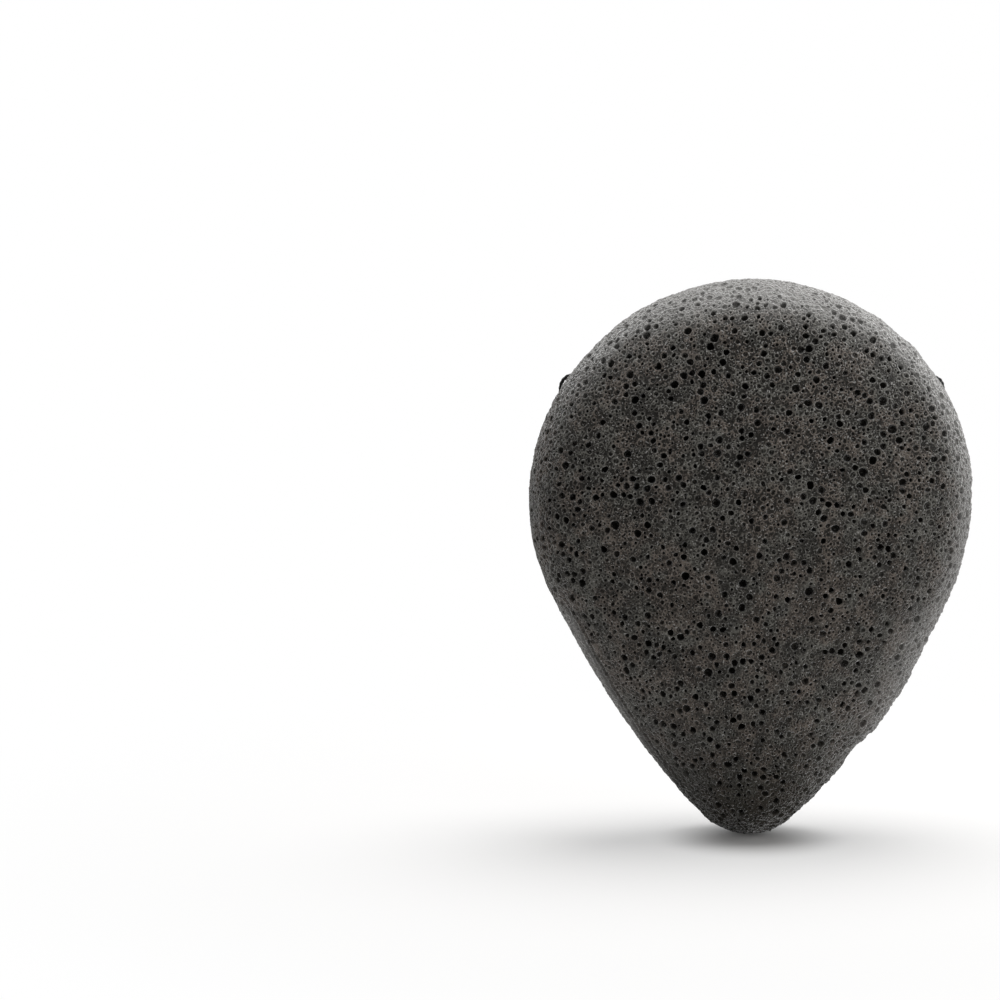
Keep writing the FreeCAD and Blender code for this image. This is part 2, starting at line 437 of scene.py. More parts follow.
rim_lengths, _ = rim_share()
COLUMNS = 2 * int(rim_lengths[-1] / SURFACE_STEP) + 1
ROWS = 2 * int((SPONGE_HEIGHT / 2 + BROW_ALLOWANCE) / SURFACE_STEP) + 1
front_grid = half_surface(COLUMNS, ROWS, FRONT_BROW_RADIUS, FRONT_EDGE_ROUNDNESS, -1)
back_grid = half_surface(COLUMNS, ROWS, BACK_BROW_RADIUS, BACK_EDGE_ROUNDNESS, 1)
front_index = np.arange(COLUMNS * ROWS).reshape(ROWS, COLUMNS)
back_index = front_index.copy()
inside_rim = back_index[1:-1, 1:-1]
inside_rim[:] = COLUMNS * ROWS + np.arange(inside_rim.size).reshape(inside_rim.shape)
foam_points = np.vstack([front_grid.reshape(-1, 3), back_grid[1:-1, 1:-1].reshape(-1, 3)])
foam_quads = np.vstack([grid_quads(front_index), grid_quads(back_index)[:, ::-1]])
print("foam grid", COLUMNS, "by", ROWS, "points", len(foam_points), "quads", len(foam_quads))

# %% Directions out of the surface
NO_LENGTH = 1e-12


def point_normals(points, quads):
    """Direction out of the surface at each point: the sum of its quads' crossed diagonals."""
    first = points[quads[:, 2]] - points[quads[:, 0]]
    second = points[quads[:, 3]] - points[quads[:, 1]]
    crossed = np.cross(first, second)
    summed = [np.bincount(quads.ravel(), np.repeat(axis, 4), len(points)) for axis in crossed.T]
    return unit(np.column_stack(summed) + NO_LENGTH)


foam_normals = point_normals(foam_points, foam_quads)
print("normal out of the front", foam_normals[front_index[ROWS // 2, COLUMNS // 2]].round(2))

# %% [markdown]
# Foam is uneven at every size, but it has to come out the same on every run. So soft noise gives each
# corner of a grid of cubes a number from a hash of its place, and blends these numbers in between.

# %% Noise in space
CELL_FACTORS = np.array([73856093, 19349663, 83492791])
SEED_FACTOR = 668265263
SCRAMBLES = ((16, 0x7FEB352D), (15, 0x846CA68B))
LAST_SHIFT = 16
LOW_BITS = 0xFFFFFFFF


def cell_random(cells, seed):
    """Even random number from 0 to 1 for each cell: its three whole numbers mixed and scrambled."""
    mixed = (cells * CELL_FACTORS).sum(axis=-1) + seed * SEED_FACTOR
    mixed = (mixed & LOW_BITS).astype(np.uint64)
    for shift, factor in SCRAMBLES:
        mixed = ((mixed ^ (mixed >> np.uint64(shift))) * np.uint64(factor)) & np.uint64(LOW_BITS)
    return (mixed ^ (mixed >> np.uint64(LAST_SHIFT))).astype(np.float64) / (LOW_BITS + 1)


def smooth_step(low, high, value):
    """0 at low and before it, 1 at high and past it, and a smooth step between."""
    share = np.clip((value - low) / (high - low), 0, 1)
    return share * share * (3 - 2 * share)


def bell(offset, spread):
    """1 where the offset is 0, falling smoothly to nothing within about two spreads."""
    return np.exp(-(offset / spread) ** 2)


def soft_noise(points, size, seed):
    """Noise from -1 to 1: random values at the corners of cubes of this size, blended smoothly between."""
    scaled = points / size
    cell = np.floor(scaled).astype(np.int64)
    share = smooth_step(0, 1, scaled - cell)
    total = np.zeros(len(points))
    for corner in itertools.product((0, 1), repeat=3):
        weight = np.prod(np.where(corner, share, 1 - share), axis=1)
        total += weight * cell_random(cell + np.array(corner), seed)
    return 2 * total - 1


# %% [markdown]
# The sponge comes out of a two-part mould, so a parting line shows low on its left, with a smooth band
# beside it. It is a fine groove in the mesh, because a line of colour alone looks painted from aside.
# Each form across the line has a place behind it, a spread and a rise, which is negative for a groove.

# %% Parting line
PARTING_SHARE = 0.44
PARTING_SIDE = (-2.0, -8.0)
PARTING_HEIGHTS = (6.0, 12.0, 40.0, 50.0)
PARTING_FORMS = [(-0.8, 0.5, 0.3), (0.0, 0.36, -0.9), (1.3, 0.3, -0.5)]
WANDER_REACH = 0.3
WANDER_SIZE = 6.0
WANDER_SEED = 31
BAND_START = (0.3, 1.6)
BAND_END = (0.5, 6.0)
CREASE_SHOWN = 0.3
CREASE_HALF_WIDTH = 0.10
FAR = 9.0


def parting_line(points):
    """How strongly the parting line shows at each point, and how far behind the line the point is.

    The line lies at a share of the front depth and wanders a little. It shows on the left alone,
    fades in above the tip and fades out higher up.
    """
    across, back, up = points.T
    low, full, fading, gone = PARTING_HEIGHTS
    left = smooth_step(*PARTING_SIDE, across)
    shown = left * smooth_step(low, full, up) * (1 - smooth_step(fading, gone, up))
    depth = depth_at(up, FRONT_BROW_RADIUS)
    behind = back + PARTING_SHARE * depth - WANDER_REACH * soft_noise(points, WANDER_SIZE, WANDER_SEED)
    return shown, behind


shown, behind = parting_line(foam_points)
parting = shown * sum(rise * bell(behind - place, spread) for place, spread, rise in PARTING_FORMS)
smooth_band = shown * smooth_step(*BAND_START, behind) * (1 - smooth_step(*BAND_END, foam_points[:, 1]))
crease = np.where(shown > CREASE_SHOWN, np.abs(behind) - CREASE_HALF_WIDTH, FAR)
print("parting line from", parting.min().round(2), "to", parting.max().round(2), "mm")

# %% [markdown]
# A soft moulding is never even. The right flank bulges and ends in a notch above the tip, both flanks
# have a slight flat, and small lumps stand on the right shoulder. Where the needle went through, the
# foam is drawn in round the cord. Each form is a smooth step or a bell that lifts the surface.
# A lump has its place across and up, a spread and a rise, a flat its side, height, spread and fall,
# a dent its rise, size and seed, and a mouth's form its fall and radius.

# %% Uneven forms
EDGE_SHARES = (0.70, 0.97)
BULGE_RISE = 0.75
BULGE_HEIGHTS = (18.0, 23.0, 29.0, 46.0)
NOTCH_DEPTH = 0.35
NOTCH_HEIGHT = 17.0
NOTCH_SPREAD = 2.4
LUMPS = [(27.9, 107.6, 2.6, 0.45), (32.4, 99.7, 2.4, 0.4)]
FLATS = [(-1, 38.0, 18.0, 0.8), (1, 59.0, 20.0, 0.7)]
DENTS = [(0.24, 17.0, 7), (0.12, 5.0, 8)]
MOUTH_FORMS = [(2.6, 0.75), (0.5, 2.2)]
MOUTH_SIDE = 20
FLANK_SHARES = (0.62, 0.96)
FLANK_HEIGHTS = (38, 62)
FACE_SHARES = (0.45, 0.99)
THINNEST = 1e-6


def side_share(points):
    """Place of each point between the middle, 0, and the right or the left outline, 1 or -1."""
    return points[:, 0] / np.maximum(outline_at(points[:, 2]), THINNEST)


def uneven(points, parting):
    """Height that these forms and the parting line add along the normal at each point."""
    across, back, up = points.T
    edge = smooth_step(*EDGE_SHARES, np.abs(side_share(points)))
    right = edge * (across > 0)
    low, full, fading, gone = BULGE_HEIGHTS
    bulge = BULGE_RISE * right * smooth_step(low, full, up) * (1 - smooth_step(fading, gone, up))
    notch = -NOTCH_DEPTH * right * bell(up - NOTCH_HEIGHT, NOTCH_SPREAD)
    lumps = sum(rise * bell(np.hypot(across - x, up - z), size) for x, z, size, rise in LUMPS)
    flats = -sum(fall * edge * (across * hand > 0) * bell(up - z, size) for hand, z, size, fall in FLATS)
    to_cord = np.hypot(back - TUNNEL_MIDDLE[1], up - TUNNEL_MIDDLE[2])
    mouth = -sum(fall * bell(to_cord, radius) for fall, radius in MOUTH_FORMS)
    dents = sum(rise * soft_noise(points, size, seed) for rise, size, seed in DENTS)
    return bulge + notch + lumps + flats + parting + dents + np.where(np.abs(across) > MOUTH_SIDE, mouth, 0)


lift = uneven(foam_points, parting)
# The rough lower right flank also becomes skin below, which brings painted light to it.
rough_flank_and_painted_light = smooth_step(*FLANK_SHARES, side_share(foam_points))
rough_flank_and_painted_light *= 1 - smooth_step(*FLANK_HEIGHTS, foam_points[:, 2])
face = smooth_step(*FACE_SHARES, np.abs(foam_normals[:, 1]))
foam_points = foam_points + lift[:, None] * foam_normals
foam_normals = point_normals(foam_points, foam_quads)
print("uneven by", lift.min().round(2), "to", lift.max().round(2), "mm")

# %% [markdown]
# Foam is a mass of bubbles, and their places are random but keep a distance. So points of the surface
# are drawn by rank, and a point that comes too near to a higher one goes. To find neighbours fast,
# space is cut into cubes of the size of the gap, with one point each at most.

# %% Places of the bubbles
NEIGHBOURS = list(itertools.product((-1, 0, 1), repeat=3))
OTHERS = [step for step in NEIGHBOURS if any(step)]
AXES = (0, 1, 2)
MARGIN_CUBES = 2
SEED_ROUNDS = 4


def spread_seeds(points, gap, seed):
    """Cube of each point, and the number of the surface point that each cube keeps, or -1.

    Each cube takes its point with the highest random rank. A point stays if no neighbour within the
    gap ranks higher; what it crowds out goes, and the rest is tried again.
    """
    generator = np.random.default_rng(seed)
    rank = generator.random(len(points))
    cell = np.floor((points - points.min(axis=0)) / gap).astype(np.int64) + MARGIN_CUBES
    shape = tuple(cell.max(axis=0) + MARGIN_CUBES + 1)
    key = np.ravel_multi_index(cell.T, shape)
    order = np.lexsort((rank, key))
    last = np.append(key[order][1:] != key[order][:-1], True)
    chosen = np.full(np.prod(shape), -1)
    chosen[key[order][last]] = order[last]
    chosen = chosen.reshape(shape)
    kept = np.zeros(shape, bool)
    waiting = chosen >= 0
    for _ in range(SEED_ROUNDS):
        beaten = np.zeros(shape, bool)
        crowded = np.zeros(shape, bool)
        for step in OTHERS:
            other = np.roll(chosen, step, axis=AXES)
            near = waiting & (other >= 0)
            near &= np.linalg.norm(points[chosen] - points[other], axis=-1) < gap
            crowded |= near & np.roll(kept, step, axis=AXES)
            beaten |= near & np.roll(waiting, step, axis=AXES) & (rank[other] > rank[chosen])
        waiting &= ~crowded
        kept |= waiting & ~beaten
        waiting &= beaten
    return cell, np.where(kept, chosen, -1)


def nearest_seed(points, chosen):
    """Distance from each chosen point to the nearest other one in the neighbouring cubes."""
    nearest = np.full(chosen.shape, FAR)
    for step in OTHERS:
        other = np.roll(chosen, step, axis=AXES)
        apart = np.linalg.norm(points[chosen] - points[other], axis=-1)
        nearest = np.where((chosen >= 0) & (other >= 0), np.minimum(nearest, apart), nearest)
    return nearest


# %% [markdown]
# Where the surface cuts a bubble, the bubble's far wall is what shows: deep and dark if its middle lies
# near the surface or inside, a shallow dish if its middle lies well outside. A ball's far wall has a
# formula, so the pores are real hollows in the mesh and not only dark spots; painted shade darkens their
# floors as well, most in the open pores.

# %% Bubbles at the surface
SIZE_POWER = 1.6
THIN_WALL = 0.04
CLOSED_SINK = (-0.85, 0.25)
OPEN_SINK = (-0.2, 0.85)
# Painted shade on the pores' floors: little in closed dishes, much in open pores.
CLOSED_PAINTED_SHADE = (0.08, 0.37)
OPEN_PAINTED_SHADE = (0.48, 0.52)
OPENING_GAP = 0.08
BEND_SIZE = 0.6


def drawn_from(limits, draw):
    """Value from a lowest value and the width of its range, at a random draw from 0 to 1."""
    lowest, width = limits
    return lowest + width * draw


def bubbles(points, normals, gap, radii, closed_share, bend, seed, taken=None):
    """Depth to the far wall of the bubbles at each point, distance to an opening, and its painted shade.

    A bubble's radius is between the two radii, small ones being more common, and leaves a thin wall
    to the next bubble. None starts where taken says that an opening is near. Noise moves the walls by
    up to bend, so that no bubble is quite round. An open bubble has its middle near the surface and much
    painted shade on its floor. A closed one has it well outside, so it is a dish with less painted shade
    on its floor. On the line through a point along the normal, the far wall lies at the offset of the
    middle along that line plus half of the bubble's chord there. The opening is the circle in which the
    surface cuts the bubble, and the distance to it is negative inside.
    """
    cell, chosen = spread_seeds(points, gap, seed)
    generator = np.random.default_rng(seed + 1)
    size, sink, kind, tone = generator.random((4, *chosen.shape))
    radius = radii[0] + (radii[1] - radii[0]) * size ** SIZE_POWER
    radius = np.minimum(radius, 0.5 * nearest_seed(points, chosen) - THIN_WALL)
    closed = kind < closed_share
    sunk = radius * np.where(closed, drawn_from(CLOSED_SINK, sink), drawn_from(OPEN_SINK, sink))
    darkness = np.where(closed, drawn_from(CLOSED_PAINTED_SHADE, tone), drawn_from(OPEN_PAINTED_SHADE, tone))
    opening = np.where(chosen >= 0, np.sqrt(radius ** 2 - sunk ** 2), -FAR)
    if taken is not None:
        opening = np.where(taken[chosen] < opening + OPENING_GAP, -FAR, opening)
    middle = points[chosen] - sunk[..., None] * normals[chosen]
    shifts = [soft_noise(points, BEND_SIZE * gap, seed + extra) for extra in (2, 3, 4)]
    warped = points + bend * np.column_stack(shifts)
    depth = np.zeros(len(points))
    edge = np.full(len(points), FAR)
    dark = np.zeros(len(points))
    for step in NEIGHBOURS:
        home = tuple((cell + np.array(step)).T)
        here = np.linalg.norm(warped - points[chosen[home]], axis=1) - opening[home]
        offset = warped - middle[home]
        along = (offset * normals).sum(axis=1)
        inside = radius[home] ** 2 - (offset ** 2).sum(axis=1)
        wall = along + np.sqrt(np.maximum(along ** 2 + inside, 0))
        depth = np.maximum(depth, np.where((inside > 0) & (opening[home] > 0), wall, 0))
        dark = np.where(here < edge, darkness[home], dark)
        edge = np.minimum(edge, here)
    print("bubbles", int((opening > 0).sum()), "of up to", radii[1], "mm")
    return depth, edge, dark


BIG_BUBBLES = dict(gap=1.42, radii=(0.46, 1.05), closed_share=0.55, bend=0.17, seed=100)
SMALL_BUBBLES = dict(gap=0.70, radii=(0.20, 0.46), closed_share=0.45, bend=0.07, seed=200)
big_depth, big_edge, big_pore_shade = bubbles(foam_points, foam_normals, **BIG_BUBBLES)
small_depth, small_edge, small_pore_shade = bubbles(foam_points, foam_normals, **SMALL_BUBBLES, taken=big_edge)

# %% [markdown]
# Round its edge the foam has a skin: there the pores are shallow and the threads are paler, partly as
# their own colour and partly as painted light, most of all on the crown, on the right and in the smooth
# band by the parting line. The rough lower right flank takes skin too. Half-way up the left flank painted
# shade takes the skin away, so the pores there stay open. On the face the pores are open and deep. These
# differences are kept as values at the points, because the shape needs them and the finish needs them
# again.

# %% Skin of the foam
FLANK_SKIN = 0.8
# Where painted shade takes the skin away on the left flank, half-way up.
LEFT_PAINTED_SHADE_SHARE = 0.75
LEFT_PAINTED_SHADE_SIDE = (-20, -38)
LEFT_PAINTED_SHADE_HEIGHT = 64
LEFT_PAINTED_SHADE_SPREAD = 24
LIT_CROWN_HEIGHTS = (82, 108)
LIT_RIGHT_SIDE = (0, 36)
PALE_AND_LIT_SKIN = 0.40
PAINTED_LIGHT_RIGHT = 0.65
PAINTED_LIGHT_CROWN = 1.0
PALE_AND_LIT_BAND = 1.4
rightward, _, upward = foam_points.T
# Skin is partly the foam's own paler colour and partly painted light.
skin = np.maximum(1 - face, FLANK_SKIN * rough_flank_and_painted_light)
# Half-way up the left flank the skin is taken away as painted shade, which also leaves the pores open.
skin *= 1 - LEFT_PAINTED_SHADE_SHARE * smooth_step(*LEFT_PAINTED_SHADE_SIDE, rightward) * bell(upward - LEFT_PAINTED_SHADE_HEIGHT, LEFT_PAINTED_SHADE_SPREAD)
# Painted light on the right and on the crown, and pale colour with painted light on the smooth band.
pale_and_lit_share = PALE_AND_LIT_SKIN + PAINTED_LIGHT_RIGHT * smooth_step(*LIT_RIGHT_SIDE, rightward)
pale_and_lit_share += PAINTED_LIGHT_CROWN * smooth_step(*LIT_CROWN_HEIGHTS, upward)
pale_and_painted_light = skin * pale_and_lit_share + PALE_AND_LIT_BAND * smooth_band
print("skin on", round(float(skin.mean()), 3), "of the foam")

# %% [markdown]
# Now the surface is moved along its normals: down into the pores, up a little at their rims, and up and
# down by the fine web between them. The pores' floors carry painted shade, and the crease of the parting
# line counts as one long pore with painted shade in it.

# %% Shape of the foam
BIG_DEEPER = 1.3
SMALL_DEEPER = 1.2
SKIN_CLOSES = 0.7
BAND_CLOSES = 0.85
SKIN_LIGHTENS = 0.78
BAND_LIGHTENS = 0.7
CREASE_PAINTED_SHADE = 0.75
WEB_FORMS = [(0.09, 1.1, 9), (0.07, 0.55, 10)]
WEB_ON_FLANK = 1.2
WEB_ON_SKIN = 0.5
RIM_HEIGHT = 0.11
RIM_PLACE = 0.1
RIM_SPREAD = 0.18
openness = (1 - SKIN_CLOSES * skin) * (1 - BAND_CLOSES * smooth_band)
pore_depth = np.maximum(big_depth * BIG_DEEPER, small_depth * SMALL_DEEPER) * openness
pore_edge = np.minimum(big_edge, small_edge)
# Painted shade in the pores, weaker on the skin and on the smooth band.
painted_pore_shade = np.where(big_edge < small_edge, big_pore_shade, small_pore_shade)
painted_pore_shade = painted_pore_shade * (1 - SKIN_LIGHTENS * skin) * (1 - BAND_LIGHTENS * smooth_band)
# The crease gets painted shade like a pore.
painted_pore_shade = np.where(crease < pore_edge, CREASE_PAINTED_SHADE, painted_pore_shade)
pore_edge = np.minimum(pore_edge, crease)
web = sum(rise * soft_noise(foam_points, size, seed) for rise, size, seed in WEB_FORMS)
web *= 1 + WEB_ON_FLANK * rough_flank_and_painted_light + WEB_ON_SKIN * skin
raised = web + RIM_HEIGHT * bell(pore_edge - RIM_PLACE, RIM_SPREAD) - pore_depth
foam_shape = foam_points + raised[:, None] * foam_normals
foam_shape[:, 2] = np.maximum(foam_shape[:, 2], 0)
foam = mesh_piece("foam_drop", foam_shape, foam_quads)
for name, values in (("pore_edge", pore_edge), ("painted_pore_shade", painted_pore_shade), ("skin", skin), ("pale_and_painted_light", pale_and_painted_light)):
    foam.data.attributes.new(name, "FLOAT", "POINT").data.foreach_set("value", values.astype(np.float32))
print("pores cover", round(float((pore_edge < 0).mean()), 3), "deepest", round(float(pore_depth.max()), 2))

# %% [markdown]
# A finish can be baked into a picture only if each spot of the surface has its own place in that picture.
# Both grids are rectangles already, so the front fills the left half of the map and the back the right.

# %% UV map for the foam
UV_MARGIN = 0.003
share_across, share_up = np.meshgrid(np.linspace(0, 1, COLUMNS), np.linspace(0, 1, ROWS))
flat = np.stack([share_across, share_up], axis=-1).reshape(-1, 2)
front_uv = UV_MARGIN + flat * (np.array([0.5, 1.0]) - 2 * UV_MARGIN)
back_uv = front_uv + [0.5, 0]
grid_corners = grid_quads(front_index)
uv = np.vstack([front_uv[grid_corners].reshape(-1, 2), back_uv[grid_corners[:, ::-1]].reshape(-1, 2)])
foam.data.uv_layers.new(name="OFBake").data.foreach_set("uv", uv.astype(np.float32).ravel())
print("map from", uv.min(axis=0).round(3), "to", uv.max(axis=0).round(3))

# %% [markdown]
# A finish is a little sum of patterns. Writing the sums as Python expressions keeps them readable,
# so one small class stands for a socket and adds a Math node for each sign between two of them.

# %% Sockets as values


class Socket:
    """An output of a shader node. Arithmetic on it adds Math nodes, and node adds any other kind."""

    def __init__(self, tree, out=None):
        self.tree = tree
        self.out = out

    def node(self, kind, settings, inputs, output=0):
        """New node with its settings set first, then its sockets filled or linked; gives one output."""
        made = self.tree.nodes.new("ShaderNode" + kind)
        for name, value in settings.items():
            setattr(made, name, value)
        for name, value in inputs.items():
            if isinstance(value, Socket):
                self.tree.links.new(value.out, made.inputs[name])
            else:
                made.inputs[name].default_value = value
        return Socket(self.tree, made.outputs[output])

    def math(self, operation, *values):
        """Math node on values that are sockets or numbers."""
        return self.node("Math", {"operation": operation}, dict(enumerate(values)))

    def __add__(self, other):
        return self.math("ADD", self, other)

    def __sub__(self, other):
        return self.math("SUBTRACT", self, other)

    def __rsub__(self, other):
        return self.math("SUBTRACT", other, self)

    def __mul__(self, other):
        return self.math("MULTIPLY", self, other)

    __radd__ = __add__
    __rmul__ = __mul__

    def step(self, low, high):
        """0 below low, 1 above high, and a smooth step between."""
        return self.node("MapRange", {"interpolation_type": "SMOOTHSTEP"},
                         {"Value": self, "From Min": low, "From Max": high})

    def mix(self, first, second):
        """Colour that goes from first to second as this value goes from 0 to 1."""
        return self.node("Mix", {"data_type": "RGBA"}, {"Factor": self, 6: first, 7: second}, 2)


def new_finish(name):
    """Material with an empty tree, and the socket of its Object coordinates."""
    material = bpy.data.materials.new(name)
    material.use_nodes = True
    material.node_tree.nodes.clear()
    start = Socket(material.node_tree)
    return material, start.node("TexCoord", {}, {}, "Object")


def show(material, shader):
    """The material, with this shader as what its surface shows."""
    output = material.node_tree.nodes.new("ShaderNodeOutputMaterial")
    material.node_tree.links.new(shader.out, output.inputs["Surface"])
    print("finish", material.name, "of", len(material.node_tree.nodes), "nodes")
    return material


def noise(place, size, detail=2.0, rough=0.5, output=0):
    """Noise whose features are about this many millimetres across."""
    inputs = {"Vector": place, "Scale": 1 / (size * MM), "Detail": detail, "Roughness": rough}
    return place.node("TexNoise", {}, inputs, output)


def attribute(place, name):
    """Value that the mesh has at its points under this name."""
    return place.node("Attribute", {"attribute_name": name}, {}, "Fac")


# %% [markdown]
# The web of the foam is a froth of cells too small for the mesh: dark hollows between paler walls. Each
# open pore has a rim that carries a painted highlight, where the cut wall would catch the light. Here and
# there fine wrinkles run over the face. These patterns are made once, by name, and each sum below takes
# what it needs from them.
# A noise has a size, a detail and sometimes a roughness. A step has a start and an end.

# %% Patterns in the foam
FELT_NOISE = (0.7, 3.0, 0.65)
FINE_NOISE = (0.28, 1.0)
BROAD_NOISE = (8.0, 2.0)
PATCH_NOISE = (2.4, 2.0)
PATCH_STEP = (0.35, 0.65)
SWIRL_NOISE = (0.8, 1.0)
SWIRL_REACH = 0.5
WALL_SIZE = 0.85
WALL_BESIDE_PATCH = 0.35
FROTH_SIZE = 0.45
FROTH_LOSS = 0.6
CELL_STEP = (0.0, 0.15)
RIM_RISES = (-0.08, 0.06)
RIM_FALLS = (0.08, 0.32)
UPPER_STEP = (0.045, 0.095)
FOLD_NOISE = (9.0, 2.0)
FOLD_STEP = (0.002, 0.018)
FOLDED_SIZE = 6.0
FOLDED_STEP = (0.54, 0.62)
FOLDED_UPPER = 0.05


def cell_walls(place, size):
    """1 on the walls between cells of about this many millimetres, 0 in their hollows."""
    inner = place.node("TexVoronoi", {"feature": "DISTANCE_TO_EDGE"},
                       {"Vector": place, "Scale": 1 / (size * MM), "Randomness": 1.0}, "Distance")
    return 1 - inner.step(*CELL_STEP)


def foam_patterns(place, height_up):
    """Patterns of the foam's web by name, each about 0 to 1. The cells' walls are bent by a swirl."""
    edge = attribute(place, "pore_edge")
    swirl = noise(place, *SWIRL_NOISE, output="Color")
    bent = place.node("VectorMath", {"operation": "MULTIPLY_ADD"},
                      {0: swirl, 1: (SWIRL_REACH * MM,) * 3, 2: place}, "Vector")
    patch = noise(place, *PATCH_NOISE).step(*PATCH_STEP)
    upper = height_up.step(*UPPER_STEP)
    fold = noise(place, *FOLD_NOISE) - 0.5
    folded = (noise(place, FOLDED_SIZE) + upper * FOLDED_UPPER).step(*FOLDED_STEP)
    return {
        "felt": noise(place, *FELT_NOISE),
        "fine": noise(place, *FINE_NOISE),
        "broad": noise(place, *BROAD_NOISE),
        "patch": patch,
        "upper": upper,
        "walls": cell_walls(bent, WALL_SIZE) * (WALL_BESIDE_PATCH + (1 - WALL_BESIDE_PATCH) * patch),
        "froth": cell_walls(bent, FROTH_SIZE) * (1 - FROTH_LOSS * patch),
        "rim": edge.step(*RIM_RISES) * (1 - edge.step(*RIM_FALLS)),
        "wrinkle": (1 - fold.math("ABSOLUTE", fold).step(*FOLD_STEP)) * folded,
        "skin": attribute(place, "skin"),
    }


def weighted(patterns, weights):
    """Sum of the named patterns, each times its weight. A weight can be a socket too."""
    return sum(patterns[name] * weight for name, weight in weights.items())


# %% [markdown]
# The foam is matt charcoal grey, a little cooler here and warmer there, with fibre ends as pale specks,
# and painted shade darkens the tip where it stands on the floor. The skin along the mould's edge is
# paler, partly as its own colour and partly as painted light, most of all on the crown, on the right and
# in the band by the parting line. Rims and walls carry painted highlights, brightest in the upper part.
# Fine fuzz makes the edge of any felt glow, and sheen does the same in a shader. An open pore has a black
# floor of painted shade, which is a shader of its own, so that no sheen lights it up.

# %% Charcoal foam
WEB_DARK = (0.0105, 0.0095, 0.0080, 1)
WEB_COOL = (0.106, 0.103, 0.092, 1)
WEB_WARM = (0.116, 0.099, 0.085, 1)
# Black of the painted shade on the pores' floors.
PORE_SHADE_COLOUR = (0.0026, 0.0023, 0.0018, 1)
PALE_AND_LIT_SKIN_COLOUR = (0.170, 0.167, 0.161, 1)
# Painted shade at the tip, where it stands on the floor.
TIP_SHADE_COLOUR = (0.012, 0.0105, 0.0065, 1)
SPECK_COLOUR = (0.26, 0.255, 0.245, 1)
PORE_STEP = (-0.12, 0.04)
SHADE_LEVEL = -1.05
SHADE_STEP = (-0.05, 1.05)
SHADE_WEIGHTS = {
    "felt": 0.95, "fine": 0.6, "broad": 0.6, "patch": 0.12, "upper": -0.28, "froth": 0.28,
    "wrinkle": 0.5, "skin": 0.34}
# Painted highlights on the walls and on the pores' rims, brighter in the upper part.
WALLS_LIGHT = 0.44
WALLS_HIGHLIGHT_UPPER = 0.2
RIM_LIGHT = 0.25
RIM_PATCH = 0.35
RIM_HIGHLIGHT_UPPER = 0.4
THREAD_WEIGHTS = {"felt": 0.9, "walls": 0.6, "froth": 0.35, "rim": 0.6}
HEIGHT_WEIGHTS = {"felt": 0.8, "fine": 0.5, "walls": 0.5, "froth": 0.3, "rim": 0.4, "wrinkle": 0.6}
WARMTH_NOISE = (5.0, 1.0)
WARMTH_STEP = (0.4, 0.6)
SPECK_NOISE = (0.33, 0.0)
SPECK_STEP = (0.70, 0.78)
SPECK_UPPER = 0.04
SPECK_SHARE = 0.8
TIP_SHADE_STEP = (0.0, 0.030)
TIP_SHADE_SHARE = 0.85
BUMP_DISTANCE = 0.0002


def foam_colour(place, patterns, height_up):
    """Colour of the foam between its open pores: web, specks, paler skin with painted light, painted shade
    at the tip.
    """
    upper, patch = patterns["upper"], patterns["patch"]
    by_place = {
        "walls": WALLS_LIGHT + upper * WALLS_HIGHLIGHT_UPPER,
        "rim": RIM_LIGHT + patch * RIM_PATCH + upper * RIM_HIGHLIGHT_UPPER}
    shade = weighted(patterns, SHADE_WEIGHTS) + weighted(patterns, by_place) + SHADE_LEVEL
    warmth = noise(place, *WARMTH_NOISE).step(*WARMTH_STEP)
    web = shade.step(*SHADE_STEP).mix(WEB_DARK, warmth.mix(WEB_COOL, WEB_WARM))
    speck = (noise(place, *SPECK_NOISE) + upper * SPECK_UPPER).step(*SPECK_STEP)
    flecked = (speck * SPECK_SHARE).mix(web, SPECK_COLOUR)
    threads = weighted(patterns, THREAD_WEIGHTS)
    # The skin is paler, partly as its own colour and partly as painted light.
    paler = (attribute(place, "pale_and_painted_light") * threads).mix(flecked, PALE_AND_LIT_SKIN_COLOUR)
    # Painted shade darkens the tip, where it stands on the floor.
    return ((1 - height_up.step(*TIP_SHADE_STEP)) * TIP_SHADE_SHARE).mix(paler, TIP_SHADE_COLOUR)


def foam_finish():
    """Felted foam, and a black floor of painted shade in each open pore, mixed by that shade's strength."""
    material, place = new_finish("charcoal_foam")
    height_up = place.node("SeparateXYZ", {}, {"Vector": place}, "Z")
    patterns = foam_patterns(place, height_up)
    pore = (1 - attribute(place, "pore_edge").step(*PORE_STEP)) * attribute(place, "painted_pore_shade")
    height = weighted(patterns, HEIGHT_WEIGHTS)
    bump = place.node("Bump", {}, {"Strength": 0.9, "Distance": BUMP_DISTANCE, "Height": height})
    felted = place.node("BsdfPrincipled", {}, {
        "Base Color": foam_colour(place, patterns, height_up), "Roughness": 0.92, "Normal": bump,
        "Specular IOR Level": 0.2, "Sheen Weight": 0.75, "Sheen Roughness": 0.28,
        "Sheen Tint": (1, 1, 1, 1)})
    # The black diffuse floor is painted shade in the open pores, with no sheen.
    painted_shade_floor = place.node("BsdfDiffuse", {}, {"Color": PORE_SHADE_COLOUR})
    return show(material, place.node("MixShader", {}, {0: pore, 1: felted, 2: painted_shade_floor}))


foam.data.materials.append(foam_finish())

# %% [markdown]
# Dyed cotton is nearly black and matt. The twist is in the mesh already, so the finish only adds the
# fine fibres of each ply: a small noise for the colour, and the same noise as bumps.

# %% Black cotton cord
FIBRE_DARK = (0.004, 0.004, 0.0043, 1)
FIBRE_PALE = (0.020, 0.020, 0.021, 1)
FIBRE_NOISE = (0.16, 3.0, 0.6)
FIBRE_STEP = (0.35, 0.75)
FIBRE_HEIGHT = 0.00005


